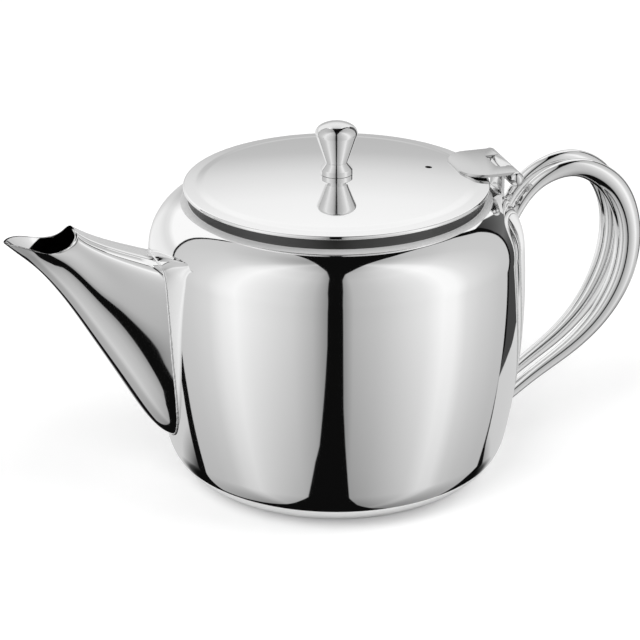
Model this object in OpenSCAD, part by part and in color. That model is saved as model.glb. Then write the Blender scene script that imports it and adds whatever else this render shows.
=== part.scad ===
// Stainless steel teapot with a hinged lid, a pressed spout and a twin-tube handle.
// Origin: centre of the flat base, on the table. +Z up, handle towards +X, spout towards -X.

/* [Pot body] */
// Greatest outside diameter of the pot
body_d = 128; // [126:0.5:132]
// Height of the widest point of the side above the table
belly_z = 66; // [62:0.5:70]
// Height of the crest of the shoulder above the table
shoulder_z = 99.3; // [97:0.1:104]
// Radius of the shallow curve of the side, seen from the front
side_curve_r = 240; // [200:5:400]
// Radius of the rounded corner between base and side
base_corner_r = 19; // [15:0.5:22]
// Radius of the rounded shoulder
shoulder_r = 17.5; // [15:0.5:20]
// Thickness of the sheet of the pot
body_wall = 0.8; // [0.6:0.1:1.2]
// How far the upright neck stands inside the pot's widest point
neck_inset = 14.6; // [13:0.1:16]
// Height of the neck's rim above the shoulder crest
neck_h = 2.8; // [2:0.2:5]

/* [Strainer] */
// Diameter of the strainer holes punched in the pot behind the spout
strainer_hole_d = 2.6; // [1.5:0.1:3]
// Distance between strainer holes
strainer_pitch = 5.6; // [4.5:0.1:6]
// Rows of strainer holes
strainer_rows = 8; // [4:1:9]
// Holes in a row
strainer_cols = 4; // [3:1:4]

/* [Lid] */
// How far the lid's edge stands out beyond the neck
lid_overhang = 2; // [1:0.1:2.6]
// Rise of the dome above the lid's edge
lid_rise = 3.1; // [2:0.1:5]
// Thickness of the lid's sheet
lid_wall = 0.8; // [0.6:0.1:1]
// Height of the hemmed edge of the lid
lid_edge = 1.3; // [1:0.1:1.8]
// Width of the hem under the lid's edge
lid_hem_w = 2.4; // [1.2:0.1:3]
// Clearance between the neck's rim and the closed lid
lid_seat_gap = 0.3; // [0.2:0.05:0.4]
// Depth of the locating ring below the lid's edge
ring_depth = 5; // [3:0.2:8]
// Thickness of the locating ring's sheet
ring_wall = 0.6; // [0.5:0.1:1]
// Radial clearance between the locating ring and the neck
ring_clear = 0.9; // [0.8:0.1:1.5]
// Width of the locating ring's welded brim
ring_brim_w = 4; // [2:0.5:6]
// Diameter of the steam vent
vent_d = 2.4; // [1.5:0.1:4]
// Distance of the steam vent from the lid's centre
vent_r = 32.5; // [25:0.5:36]
// Angle of the steam vent from the hinge side
vent_angle = 0; // [-60:1:60]

/* [Knob] */
// Height of the knob above the lid
knob_h = 18; // [15:0.5:22]
// Greatest diameter of the knob's head
knob_d = 14.2; // [12:0.2:17]
// Diameter of the knob's waist
knob_waist_d = 7.3; // [7:0.1:8]
// Diameter of the knob's foot
knob_foot_d = 10.9; // [9.6:0.1:13]
// Height of the knob's foot
knob_foot_h = 2.1; // [1.5:0.1:3]
// Height of the knob's rounded top above its widest point
knob_crown_h = 3.8; // [3.4:0.1:5]
// Chamfer round the bottom of the knob's foot
knob_chamfer = 0.3; // [0.1:0.1:0.5]
// Diameter of the screw that holds the knob
knob_screw_d = 4; // [3:0.5:4]
// Depth of the threaded hole in the knob
knob_thread_depth = 8; // [6:0.5:10]
// Diameter of the screw's head
screw_head_d = 7.5; // [7:0.5:9]
// Height of the screw's head
screw_head_h = 2.2; // [1.6:0.1:3]
// Width and depth of the slot in the screw's head
screw_slot = 1; // [0.6:0.1:1.2]
// Room left beyond the screw in its blind hole
screw_end_gap = 1; // [0.5:0.1:2]
// Diameter of the washer under the lid
washer_d = 12; // [10:0.5:16]
// Thickness of the washer
washer_t = 0.8; // [0.5:0.1:1.5]

/* [Hinge] */
// Distance of the hinge axis beyond the lid's edge
hinge_overhang = 7.9; // [7.5:0.1:10]
// Outside diameter of the hinge knuckles
knuckle_d = 5; // [4.6:0.1:5.6]
// Diameter of the hinge pin
pin_d = 2.5; // [2:0.1:2.8]
// Radial clearance of the pin in the fixed knuckle
pin_clear = 0.05; // [0.02:0.01:0.1]
// Width of the hinge leaf
leaf_w = 26; // [24:0.5:32]
// Thickness of the hinge leaf
leaf_t = 1; // [0.8:0.1:1.2]
// How far the hinge leaf reaches onto the lid from the lid's edge
leaf_reach = 9.9; // [9:0.1:14]
// Radius of the hinge leaf's rounded corners
leaf_corner_r = 8.5; // [6:0.5:10]
// Width of the fixed middle knuckle
middle_knuckle_w = 11.2; // [9:0.2:13]
// Side clearance between knuckles
knuckle_side_gap = 0.4; // [0.3:0.05:0.8]
// Clearance between the leaf's window and the middle knuckle
window_gap = 1.8; // [1:0.1:2]
// Height of the hinge axis above the closed lid's upper edge
hinge_rise = -0.8; // [-1:0.1:0.5]
// Thickness of the bracket's web
bracket_t = 1.2; // [1:0.1:1.6]

/* [Spout] */
// Reach of the pouring lip beyond the pot's widest point
spout_reach = 49.2; // [42:0.5:56]
// Height of the bottom of the spout where it leaves the pot
spout_foot_z = 17; // [16:0.5:22]
// Height of the pouring lip above the table
spout_tip_z = 94.8; // [88:0.5:98]
// Width of the spout where it is widest, at the pot
spout_root_w = 32.8; // [30:0.5:38]
// Width of the open mouth of the spout
spout_mouth_w = 19.6; // [16:0.5:22]
// Thickness of the spout's sheet
spout_wall = 0.8; // [0.6:0.1:1]

/* [Handle] */
// Reach of the handle's centre line beyond the pot's widest point
handle_reach = 39.4; // [36:0.5:48]
// Height of the top of the handle's centre line
handle_top_z = 101.7; // [96:0.5:101.7]
// Height at which the lower end of the handle meets the pot
handle_foot_z = 20.5; // [19:0.5:30]
// Greatest diameter of a handle tube
grip_d = 9; // [8:0.1:10]
// Diameter of a handle tube at its ends
grip_end_d = 4; // [3.4:0.1:5]
// Distance between the two tubes at the ends
tube_end_gap = 9; // [8:0.1:12]
// Distance between the two tubes in the middle of the grip
tube_mid_gap = 14; // [12:0.5:18]
// Thickness of a handle tube's wall
tube_wall = 0.7; // [0.5:0.1:1]

/* [Hidden] */
$fn = 96;
small_fn = 48;
eps = 0.01;

body_r = body_d / 2;
neck_r = body_r - neck_inset;
lid_r = neck_r + lid_overhang;
neck_top_z = shoulder_z + neck_h;
lid_low_z = neck_top_z + lid_seat_gap;
lid_edge_z = lid_low_z + lid_edge;
lid_top_z = lid_edge_z + lid_rise;
hinge_x = lid_r + hinge_overhang;
hinge_z = lid_edge_z + hinge_rise;
knuckle_r = knuckle_d / 2;
leaf_top_z = hinge_z + knuckle_r;

// Centres of the three arcs of the pot's side, each tangent to the next.
side_cx = body_r - side_curve_r;
corner_rise = belly_z - base_corner_r;
corner_cx = side_cx + sqrt(pow(side_curve_r - base_corner_r, 2) - pow(corner_rise, 2));
corner_angle = -asin(corner_rise / (side_curve_r - base_corner_r));
shoulder_cz = shoulder_z - shoulder_r;
shoulder_rise = shoulder_cz - belly_z;
shoulder_cx = side_cx + sqrt(pow(side_curve_r - shoulder_r, 2) - pow(shoulder_rise, 2));
shoulder_angle = asin(shoulder_rise / (side_curve_r - shoulder_r));

arc_steps = 12;
dome_steps = 10;

function arc_points(cx, cz, r, from, to, steps) =
    [for (i = [0 : steps]) let (a = from + (to - from) * i / steps) [cx + r * cos(a), cz + r * sin(a)]];

function reversed(list) = [for (i = [len(list) - 1 : -1 : 0]) list[i]];

// Half outline of the pot, drawn a given depth inside its outer face.
function pot_outline(depth) =
    let (neck_angle = acos((neck_r - depth - shoulder_cx) / (shoulder_r - depth)))
    concat([[0, depth]],
           arc_points(corner_cx, base_corner_r, base_corner_r - depth, -90, corner_angle, arc_steps),
           arc_points(side_cx, belly_z, side_curve_r - depth, corner_angle, shoulder_angle, arc_steps),
           arc_points(shoulder_cx, shoulder_cz, shoulder_r - depth, shoulder_angle, neck_angle, arc_steps),
           [[neck_r - depth, neck_top_z]]);

// Height of the lid's dome at a distance from its centre, below its top face by a depth.
dome_r = (lid_r * lid_r + lid_rise * lid_rise) / (2 * lid_rise);
function dome_z(r, depth) = lid_top_z - dome_r + sqrt(pow(dome_r - depth, 2) - r * r);

// Smooth curve through a list of stations, four at a time.
function blend(p0, p1, p2, p3, t) =
    0.5 * ((2 * p1) + (p2 - p0) * t + (2 * p0 - 5 * p1 + 4 * p2 - p3) * t * t
           + (3 * p1 - p0 - 3 * p2 + p3) * t * t * t);
function station(list, i) = list[max(0, min(len(list) - 1, i))];
function smooth(list, steps) =
    concat([for (i = [0 : len(list) - 2], j = [0 : steps - 1])
                blend(station(list, i - 1), list[i], list[i + 1], station(list, i + 2), j / steps)],
           [list[len(list) - 1]]);

// Triangles between rings of n points that turn right-handed about the way the rings advance.
function wall_faces(rings, n, first) =
    [for (i = [0 : rings - 2], j = [0 : n - 1], k = [0, 1])
        let (a = first + i * n + j, b = first + i * n + (j + 1) % n)
        k == 0 ? [a, b + n, b] : [a, a + n, b + n]];

// Solid through a list of rings, each of which goes round an outer face and comes back along an inner
// one. Strips from the outer to the inner face close both ends.
module skin(rings) {
    n = len(rings[0]);
    last = (len(rings) - 1) * n;
    cap = [for (j = [0 : n / 2 - 2]) each [[j, j + 1, n - 2 - j], [j, n - 2 - j, n - 1 - j]]];
    polyhedron(points = [for (ring = rings, p = ring) p],
               faces = concat(cap,
                              wall_faces(len(rings), n, 0),
                              [for (f = cap) reversed([for (p = f) p + last])]));
}

// Hollow pipe between a list of outer rings and a list of inner rings, open at both ends.
module pipe(outer, inner) {
    n = len(outer[0]);
    half = len(outer) * n;
    last = half - n;
    lip = [for (j = [0 : n - 1]) let (k = (j + 1) % n) each [[j, k, half + k], [j, half + k, half + j]]];
    polyhedron(points = concat([for (ring = outer, p = ring) p], [for (ring = inner, p = ring) p]),
               faces = concat(wall_faces(len(outer), n, 0),
                              [for (f = wall_faces(len(inner), n, half)) reversed(f)],
                              lip,
                              [for (f = lip) reversed([for (p = f) p + last])]));
}

// The pot as a solid block, which everything welded to it ends on.
module pot_blank() {
    rotate_extrude() polygon(concat(pot_outline(0), [[0, neck_top_z]]));
}

// Pot pressed from one sheet: flat base, rounded side, neck, and strainer holes behind the spout.
module body_shell() {
    color("silver")
    difference() {
        rotate_extrude() polygon(concat(pot_outline(0), reversed(pot_outline(body_wall))));
        strainer_holes();
    }
}

module strainer_holes() {
    root_top_z = spout_foot_z + spout_stations[1][3] * spout_rise;
    mid_z = (spout_foot_z + root_top_z) / 2;
    for (row = [0 : strainer_rows - 1], col = [0 : strainer_cols - 1 - row % 2]) {
        y = (col - (strainer_cols - 1 - row % 2) / 2) * strainer_pitch;
        z = mid_z + (row - (strainer_rows - 1) / 2) * strainer_pitch;
        translate([-body_r - body_wall, y, z]) rotate([0, 90, 0])
            cylinder(d = strainer_hole_d, h = base_corner_r, $fn = small_fn / 2);
    }
}

// Stations of the spout from inside the pot to the lip. Each is the reach and rise of its lower edge,
// the reach and rise of its upper edge, its half width, the squareness of its lower side and of its
// upper edge, how much wider it is at the top, and how far its rim dips.
// Reach runs from the pot's widest point to the lip, and rise from the spout's foot to the lip.
spout_stations = [
    // low reach, low rise, top reach, top rise, half width, low, high, flare, dip
    [-0.22, 0.035, -0.22, 0.80, 1.06, 2.9, 4.4, 0.00, 0],
    [-0.04, 0.055, 0.00, 0.86, 0.98, 2.65, 4.6, 0.00, 0],
    [ 0.11, 0.17,  0.12, 0.892, 0.896, 2.4, 4.8, 0.01, 0],
    [ 0.27, 0.35,  0.235, 0.92, 0.81, 2.2, 5.0, 0.04, 0],
    [ 0.435, 0.53, 0.34, 0.95, 0.72, 2.1, 5.2, 0.08, 0],
    [ 0.60, 0.71,  0.43, 0.98, 0.655, 2.0, 5.2, 0.12, 0],
    [ 0.77, 0.855, 0.485, 1.005, 0.612, 2.0, 5.0, 0.16, 0.4],
    [ 0.90, 0.94,  0.505, 1.015, 0.60, 2.0, 4.6, 0.18, 1.6],
    [ 1.00, 1.00,  0.515, 1.02, 0.598, 2.0, 4.4, 0.20, 3.1]];
spout_steps = 2;
// How much more the rim dips towards its back than towards the lip.
dip_skew = 1.17;
spout_sides = 18;
spout_rise = spout_tip_z - spout_foot_z;
mouth_share = spout_mouth_w / spout_root_w;
// The half width in a station, turned so that the last stations follow the mouth's own width.
last_share = spout_stations[len(spout_stations) - 1][4];
function spout_half_w(share) =
    spout_root_w / 2 * (share + (mouth_share - last_share) * (1 - share) / (1 - last_share));

// Half ring of one spout station on the left of the centre plane, a depth inside the outer face.
function spout_half_ring(s, depth) =
    let (low = [-body_r - s[0] * spout_reach, spout_foot_z + s[1] * spout_rise],
         top = [-body_r - s[2] * spout_reach, spout_foot_z + s[3] * spout_rise],
         mid = (low + top) / 2,
         half = (top - low) / 2,
         grow = (norm(half) - depth) / norm(half),
         w = spout_half_w(s[4]) - depth)
    [for (j = [0 : spout_sides])
        let (u = -cos(180 * j / spout_sides),
             n = s[5] + (s[6] - s[5]) * pow(max(0, u), 2),
             v = pow(max(0, 1 - pow(abs(u), n)), 1 / n) * (1 - s[7] + s[7] * u),
             p = mid + half * u * grow)
        [p[0], -w * v, p[1] - s[8] * (1 - u * u) * (1 + dip_skew * u)]];

module spout_half() {
    rings = [for (s = smooth(spout_stations, spout_steps))
                concat(spout_half_ring(s, 0), reversed(spout_half_ring(s, spout_wall)))];
    difference() {
        skin(rings);
        pot_blank();
    }
}

// Left half of the pressed spout, seen from the handle.
module spout_half_left() {
    color("silver") spout_half();
}

// Right half of the pressed spout, welded to the left one along the centre plane.
module spout_half_right() {
    color("silver") mirror([0, 1, 0]) spout_half();
}

// Stations of the handle's loop from the upper end to the lower end: reach beyond the pot's widest
// point, rise from the foot to the top, thickness from end to greatest, and spread from end to middle.
handle_stations = [
    // reach, rise, thickness, spread
    [-0.16, 0.68, 0.00, 0.00],
    [-0.03, 0.83, 0.02, 0.00],
    [ 0.17, 0.95, 0.14, 0.00],
    [ 0.45, 1.00, 0.36, 0.06],
    [ 0.68, 0.975, 0.68, 0.35],
    [ 0.87, 0.895, 0.96, 0.72],
    [ 0.98, 0.77, 1.00, 0.95],
    [ 1.00, 0.63, 1.00, 1.00],
    [ 0.93, 0.475, 0.86, 1.00],
    [ 0.74, 0.31, 0.55, 0.80],
    [ 0.47, 0.18, 0.28, 0.52],
    [ 0.18, 0.08, 0.10, 0.34],
    [-0.12, -0.03, 0.00, 0.24]];
handle_steps = 3;
tube_sides = 18;

function handle_point(s) = [body_r + s[0] * handle_reach,
                            handle_foot_z + s[1] * (handle_top_z - handle_foot_z)];
function tube_offset(s) = (tube_end_gap + s[3] * (tube_mid_gap - tube_end_gap)) / 2;
function tube_r(s) = (grip_end_d + s[2] * (grip_d - grip_end_d)) / 2;

// Ring round one station of a tube, square to the loop.
function tube_ring(list, i, depth) =
    let (s = list[i],
         ahead = handle_point(station(list, i + 1)) - handle_point(station(list, i - 1)),
         out = [ahead[1], -ahead[0]] / norm(ahead),
         p = handle_point(s),
         r = tube_r(s) - depth)
    [for (j = [0 : tube_sides - 1]) let (a = 360 * j / tube_sides)
        [p[0] + r * cos(a) * out[0], r * sin(a) - tube_offset(s), p[1] + r * cos(a) * out[1]]];

// Hollow tube of the handle: both its ends are cut to the pot's side, where they are welded.
module handle_tube() {
    loop = smooth(handle_stations, handle_steps);
    difference() {
        pipe([for (i = [0 : len(loop) - 1]) tube_ring(loop, i, 0)],
             [for (i = [0 : len(loop) - 1]) tube_ring(loop, i, tube_wall)]);
        pot_blank();
    }
}

// Handle tube on the left side, seen from the handle towards the spout.
module handle_tube_left() {
    color("gainsboro") handle_tube();
}

// Handle tube on the right side.
module handle_tube_right() {
    color("gainsboro") mirror([0, 1, 0]) handle_tube();
}

// Round bar along the hinge axis, between two distances from the centre plane.
module hinge_bar(r, from, to) {
    translate([hinge_x, to, hinge_z]) rotate([90, 0, 0]) cylinder(r = r, h = to - from, $fn = small_fn);
}

// Fixed half of the hinge: a web welded to the shoulder, rolled into the middle knuckle.
module hinge_bracket() {
    half = middle_knuckle_w / 2;
    web_foot_z = shoulder_cz;
    color("silver")
    difference() {
        union() {
            hinge_bar(knuckle_r, -half, half);
            translate([hinge_x - knuckle_r, -half, web_foot_z])
                cube([bracket_t, middle_knuckle_w, hinge_z - web_foot_z]);
        }
        hinge_bar(pin_d / 2 + pin_clear, -leaf_w, leaf_w);
        pot_blank();
    }
}

// Outline of the lid's hinge leaf from above, with its window round the middle knuckle.
module leaf_plan() {
    tip_x = lid_r - leaf_reach;
    corner_x = tip_x + leaf_corner_r;
    corner_y = leaf_w / 2 - leaf_corner_r;
    window_w = middle_knuckle_w + 2 * knuckle_side_gap;
    difference() {
        union() {
            translate([corner_x, -leaf_w / 2]) square([hinge_x - corner_x, leaf_w]);
            translate([tip_x, -corner_y]) square([leaf_corner_r, 2 * corner_y]);
            for (side = [-1, 1]) translate([corner_x, side * corner_y]) circle(r = leaf_corner_r);
        }
        translate([hinge_x - knuckle_r - window_gap, -window_w / 2]) square([leaf_reach, window_w]);
    }
}

// Moving half of the hinge: a plate welded on the lid, rolled into the two outer knuckles.
module hinge_leaf() {
    inner = middle_knuckle_w / 2 + knuckle_side_gap;
    color("silver")
    difference() {
        union() {
            translate([0, 0, leaf_top_z - leaf_t]) linear_extrude(leaf_t) leaf_plan();
            hinge_bar(knuckle_r, -leaf_w / 2, -inner);
            hinge_bar(knuckle_r, inner, leaf_w / 2);
        }
        hinge_bar(pin_d / 2, -leaf_w, leaf_w);
        lid_blank();
    }
}

// Hinge pin: pressed in the outer knuckles, turning in the middle one, with domed heads.
module hinge_pin() {
    half = leaf_w / 2;
    color("gainsboro") {
        hinge_bar(pin_d / 2, -half - eps, half + eps);
        for (side = [-1, 1])
            translate([hinge_x, side * half, hinge_z]) rotate([-side * 90, 0, 0])
                intersection() {
                    sphere(r = knuckle_r, $fn = small_fn);
                    cylinder(r = knuckle_d, h = knuckle_d);
                }
    }
}

function dome_points(depth, from, to) =
    [for (i = [0 : dome_steps]) let (r = from + (to - from) * i / dome_steps) [r, dome_z(r, depth)]];

// The lid without its hollow underside, which the leaf and the knob seat on.
module lid_blank() {
    rotate_extrude() polygon(concat([[0, lid_low_z]], [[lid_r, lid_low_z]], dome_points(0, lid_r, 0)));
}

// The lid's sheet with its hemmed edge, before its holes are punched.
module lid_sheet() {
    hem_r = lid_r - lid_hem_w;
    rotate_extrude() polygon(concat([[hem_r, lid_low_z], [lid_r, lid_low_z]],
                                    dome_points(0, lid_r, 0), dome_points(lid_wall, 0, hem_r)));
}

// Domed lid pressed from sheet, with a hemmed edge, a steam vent and a hole for the knob's screw.
module lid_cover() {
    color("silver")
    difference() {
        lid_sheet();
        translate([0, 0, lid_low_z]) cylinder(d = knob_screw_d, h = lid_rise + knob_h, $fn = small_fn);
        rotate(vent_angle) translate([vent_r, 0, lid_low_z])
            cylinder(d = vent_d, h = lid_rise + lid_edge, $fn = small_fn);
    }
}

// Ring under the lid that holds it central in the neck: a short wall below a welded brim.
module lid_locating_ring() {
    outer_r = neck_r - body_wall - ring_clear;
    brim_r = outer_r - ring_brim_w;
    wall_r = outer_r - ring_wall;
    low_z = lid_low_z - ring_depth;
    brim_depth = lid_wall + ring_wall;
    color("gainsboro")
    difference() {
        rotate_extrude() polygon([
            [wall_r, low_z], [outer_r, low_z],
            [outer_r, dome_z(outer_r, lid_wall / 2)], [brim_r, dome_z(brim_r, lid_wall / 2)],
            [brim_r, dome_z(brim_r, brim_depth)], [wall_r, dome_z(wall_r, brim_depth)]]);
        lid_sheet();
    }
}

// Turned knob: flat foot, narrow waist and a rounded head, with a blind threaded hole.
module knob() {
    foot_r = knob_foot_d / 2;
    waist_r = knob_waist_d / 2;
    head_r = knob_d / 2;
    waist_z = knob_foot_h + foot_r - waist_r;
    head_z = knob_h - knob_crown_h;
    // The flank is a straight line from the waist that touches the rounded head at an angle.
    drop = (waist_z - head_z) * head_r / knob_crown_h;
    touch_angle = atan2(drop, waist_r) + acos(head_r / norm([waist_r, drop]));
    color("silver")
    difference() {
        translate([0, 0, lid_top_z]) rotate_extrude() polygon(concat(
            [[0, -lid_wall / 2], [foot_r - knob_chamfer, -lid_wall / 2], [foot_r, knob_chamfer],
             [foot_r, knob_foot_h], [waist_r, waist_z]],
            [for (i = [0 : arc_steps]) let (a = touch_angle + (90 - touch_angle) * i / arc_steps)
                [head_r * cos(a), head_z + knob_crown_h * sin(a)]]));
        lid_blank();
        translate([0, 0, lid_top_z - lid_wall])
            cylinder(d = knob_screw_d, h = knob_thread_depth + lid_wall, $fn = small_fn);
    }
}

// Flat seat height under the middle of the lid, where the washer lies.
washer_top_z = dome_z(washer_d / 2, lid_wall) - eps;

// Washer between the screw's head and the lid's underside.
module knob_washer() {
    color("gainsboro")
    translate([0, 0, washer_top_z - washer_t]) difference() {
        cylinder(d = washer_d, h = washer_t);
        translate([0, 0, -eps]) cylinder(d = knob_screw_d, h = washer_t + 2 * eps, $fn = small_fn);
    }
}

// Screw that holds the knob from inside the lid, with a slotted head.
module knob_screw() {
    head_top_z = washer_top_z - washer_t;
    head_low_z = head_top_z - screw_head_h;
    tip_z = lid_top_z + knob_thread_depth - screw_end_gap;
    color("gainsboro")
    difference() {
        union() {
            translate([0, 0, head_low_z]) cylinder(d = screw_head_d, h = screw_head_h, $fn = small_fn);
            translate([0, 0, head_top_z])
                cylinder(d = knob_screw_d, h = tip_z - head_top_z, $fn = small_fn);
        }
        translate([-screw_head_d, -screw_slot / 2, head_low_z - eps])
            cube([2 * screw_head_d, screw_slot, screw_slot]);
    }
}

body_shell();
spout_half_left();
spout_half_right();
handle_tube_left();
handle_tube_right();
hinge_bracket();
hinge_leaf();
hinge_pin();
lid_cover();
lid_locating_ring();
knob();
knob_screw();
knob_washer();
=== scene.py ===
# %% [markdown]
# # A polished steel teapot
# The pot, spout, handle and lid are thin pressed steel with a mirror finish. A mirror shows the
# studio more than itself, so two things decide the look: surfaces with no facets, and a studio with
# two big light panels and black gaps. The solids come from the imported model. Each big shell is made
# again here as a finer mesh that stands where its solid stands.

# %% Load the frame
import math
import bmesh
import bpy
import numpy as np
from mathutils import Matrix, Vector


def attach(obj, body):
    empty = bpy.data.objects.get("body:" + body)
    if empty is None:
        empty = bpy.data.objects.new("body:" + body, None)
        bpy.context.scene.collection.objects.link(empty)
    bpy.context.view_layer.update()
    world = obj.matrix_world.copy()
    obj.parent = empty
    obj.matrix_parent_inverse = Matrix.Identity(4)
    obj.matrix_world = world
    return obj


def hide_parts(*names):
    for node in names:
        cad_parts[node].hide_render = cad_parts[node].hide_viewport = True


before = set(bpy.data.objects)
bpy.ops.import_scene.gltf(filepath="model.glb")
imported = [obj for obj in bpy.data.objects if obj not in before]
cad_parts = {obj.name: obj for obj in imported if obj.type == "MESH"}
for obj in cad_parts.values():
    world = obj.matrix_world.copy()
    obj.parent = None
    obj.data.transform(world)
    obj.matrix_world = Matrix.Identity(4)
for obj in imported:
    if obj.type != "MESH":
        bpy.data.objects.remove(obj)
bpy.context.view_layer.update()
MM = 0.001

# %% [markdown]
# ## Sizes
# These are the sizes of the solids, in millimetres. Every shape below is worked out from them, so a
# piece can't drift away from the solid that it stands for.

# %% Sizes of the pot, lid, hinge, spout and handle
BODY_R, BELLY_Z, SIDE_R, CORNER_R = 64.0, 66.0, 240.0, 19.0
SHOULDER_Z, SHOULDER_R, SHEET = 99.3, 17.5, 0.8
NECK_R, RIM_Z, NECK_FILLET = 49.4, 102.1, 0.8
LID_R, LID_LOW_Z, LID_EDGE, LID_RISE, LID_SHEET, HEM_W = 51.4, 102.4, 1.3, 3.1, 0.8, 2.4
LID_TOP_Z = LID_LOW_Z + LID_EDGE + LID_RISE
HINGE_X, HINGE_Z, KNUCKLE_R, PIN_R, LEAF_W = 59.3, 102.9, 2.5, 1.25, 26.0
SPOUT_REACH, SPOUT_FOOT_Z, SPOUT_TIP_Z, SPOUT_HALF_W = 49.2, 17.0, 94.8, 16.4
HANDLE_REACH, HANDLE_TOP_Z, HANDLE_FOOT_Z = 39.4, 101.7, 20.5
GRIP_D, GRIP_END_D, TUBE_END_GAP, TUBE_MID_GAP = 9.0, 4.0, 9.0, 14.0

# %% [markdown]
# ## Outlines made of arcs
# A pressed pot is a few arcs that run into each other without a corner. Each point of an outline
# carries its own normal, worked out from the arc and not from the mesh. With these normals even a
# coarse mesh mirrors as if it were perfectly round.

# %% Arcs and straight lines
def arc(cx, cz, r, start, end, steps, inside=False):
    """Points (radius, height, normal) of an arc. An inside arc has its normals turned inwards."""
    turn = -1 if inside else 1
    angles = np.radians(np.linspace(start, end, steps + 1))
    return [(cx + r * math.cos(a), cz + r * math.sin(a), turn * math.cos(a), turn * math.sin(a))
            for a in angles]


def line(p, q):
    """A straight run from p to q, with the metal on its left."""
    dr, dz = q[0] - p[0], q[1] - p[1]
    size = math.hypot(dr, dz)
    return [(*p, dz / size, -dr / size), (*q, dz / size, -dr / size)]

# %% The pot's side
def pot_wall(depth, inside, steps=28):
    """Three tangent arcs from the base to below the neck, a depth inside the outer face."""
    side_cx = BODY_R - SIDE_R
    rise = BELLY_Z - CORNER_R
    corner_cx = side_cx + math.sqrt((SIDE_R - CORNER_R) ** 2 - rise ** 2)
    corner_a = -math.degrees(math.asin(rise / (SIDE_R - CORNER_R)))
    shoulder_cz = SHOULDER_Z - SHOULDER_R
    shoulder_cx = side_cx + math.sqrt((SIDE_R - SHOULDER_R) ** 2 - (shoulder_cz - BELLY_Z) ** 2)
    shoulder_a = math.degrees(math.asin((shoulder_cz - BELLY_Z) / (SIDE_R - SHOULDER_R)))
    top_a = math.degrees(math.acos((NECK_R + (1 - depth / SHEET) * NECK_FILLET - shoulder_cx)
                                   / (SHOULDER_R - depth)))
    wall = (arc(corner_cx, CORNER_R, CORNER_R - depth, -90, corner_a, steps, inside)
            + arc(side_cx, BELLY_Z, SIDE_R - depth, corner_a, shoulder_a, steps, inside)[1:]
            + arc(shoulder_cx, shoulder_cz, SHOULDER_R - depth, shoulder_a, top_a, steps, inside)[1:])
    return wall, top_a


def pot_radius(z):
    """Outer radius of the pot at a height."""
    wall, _ = pot_wall(0, False, 60)
    return np.interp(z, [p[1] for p in wall], [p[0] for p in wall])


print(f"pot: {2 * pot_radius(BELLY_Z):.1f} mm across at its belly")

# %% [markdown]
# ## A lathe
# Round pieces are outlines turned round the upright axis. Blender's Screw modifier can do that too,
# but here the points are worked out directly, so that each outline's normals can be handed on to
# the corners of the mesh.

# %% An outline turned round the upright axis
ON_AXIS = 1e-6


def lathe_mesh(runs, segments):
    """Closed solid from smooth runs of an outline that goes round its metal with the metal on its left."""
    rows = [p for run in runs for p in run[:-1]]
    if runs[-1][-1][0] < ON_AXIS and runs[0][0][0] < ON_AXIS:
        rows.append(runs[-1][-1])
    verts, index = [], []
    turns = [2 * math.pi * j / segments for j in range(segments)]
    for r, z, *_ in rows:
        if r < ON_AXIS:
            index.append([len(verts)] * segments)
            verts.append((0, 0, z * MM))
        else:
            index.append(list(range(len(verts), len(verts) + segments)))
            verts += [(r * math.cos(t) * MM, r * math.sin(t) * MM, z * MM) for t in turns]
    faces = []
    for i, low in enumerate(index):
        high = index[(i + 1) % len(index)]
        if rows[i][0] < ON_AXIS and rows[(i + 1) % len(rows)][0] < ON_AXIS:
            continue
        for j in range(segments):
            k = (j + 1) % segments
            corners = [low[j], low[k], high[k], high[j]]
            faces.append(list(dict.fromkeys(corners)))
    mesh = bpy.data.meshes.new("lathe")
    mesh.from_pydata(verts, [], faces)
    return mesh


# %% Normals taken from the outline
MATCH_MM, MATCH_AGREE, AGREE_WEIGHT, BLOCK = 2.0, 0.8, 0.02, 20000


def smooth_from_outline(mesh, runs):
    """Gives each face corner the normal of the nearest outline point that faces the same way."""
    outline = np.array([p for run in runs for p in run])
    place = outline[:, :2] * MM
    mesh.shade_smooth()
    corners = [loop.vertex_index for loop in mesh.loops]
    co = np.array([v.co[:] for v in mesh.vertices])[corners]
    flat = np.repeat([f.normal[:] for f in mesh.polygons], [f.loop_total for f in mesh.polygons], axis=0)
    r = np.hypot(co[:, 0], co[:, 1])
    ray = co[:, :2] / np.maximum(r, 1e-9)[:, None]
    flat_r = (flat[:, :2] * ray).sum(axis=1)
    normals = flat.copy()
    for start in range(0, len(co), BLOCK):
        part = slice(start, start + BLOCK)
        away = ((r[part, None] - place[:, 0]) ** 2 + (co[part, 2, None] - place[:, 1]) ** 2) / MM ** 2
        agree = flat_r[part, None] * outline[:, 2] + flat[part, 2, None] * outline[:, 3]
        best = np.argmin(away - AGREE_WEIGHT * agree, 1)
        n = outline[best]
        row = np.arange(len(best))
        use = (agree[row, best] > MATCH_AGREE) & (away[row, best] < MATCH_MM ** 2)
        found = np.column_stack([n[:, 2:3] * ray[part], n[:, 3]])
        normals[part] = np.where(use[:, None], found, flat[part])
    mesh.normals_split_custom_set(normals.tolist())


def turned_mesh(runs, segments):
    """An outline turned on the lathe, with its normals."""
    mesh = lathe_mesh(runs, segments)
    smooth_from_outline(mesh, runs)
    return mesh


# %% Finished pieces
def put_in_scene(name, data):
    """A new object that holds this data, in the scene."""
    made = bpy.data.objects.new(name, data)
    bpy.context.scene.collection.objects.link(made)
    return made


def add_piece(name, mesh, body, nodes, material):
    """Puts a finished mesh in the scene as a piece that rides on a body and stands for CAD nodes."""
    mesh.name = name
    piece = put_in_scene(name, mesh)
    mesh.materials.clear()
    mesh.materials.append(material)
    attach(piece, body)
    if nodes:
        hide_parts(*nodes)
    print(f"{name}: {len(mesh.polygons)} faces")


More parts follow.
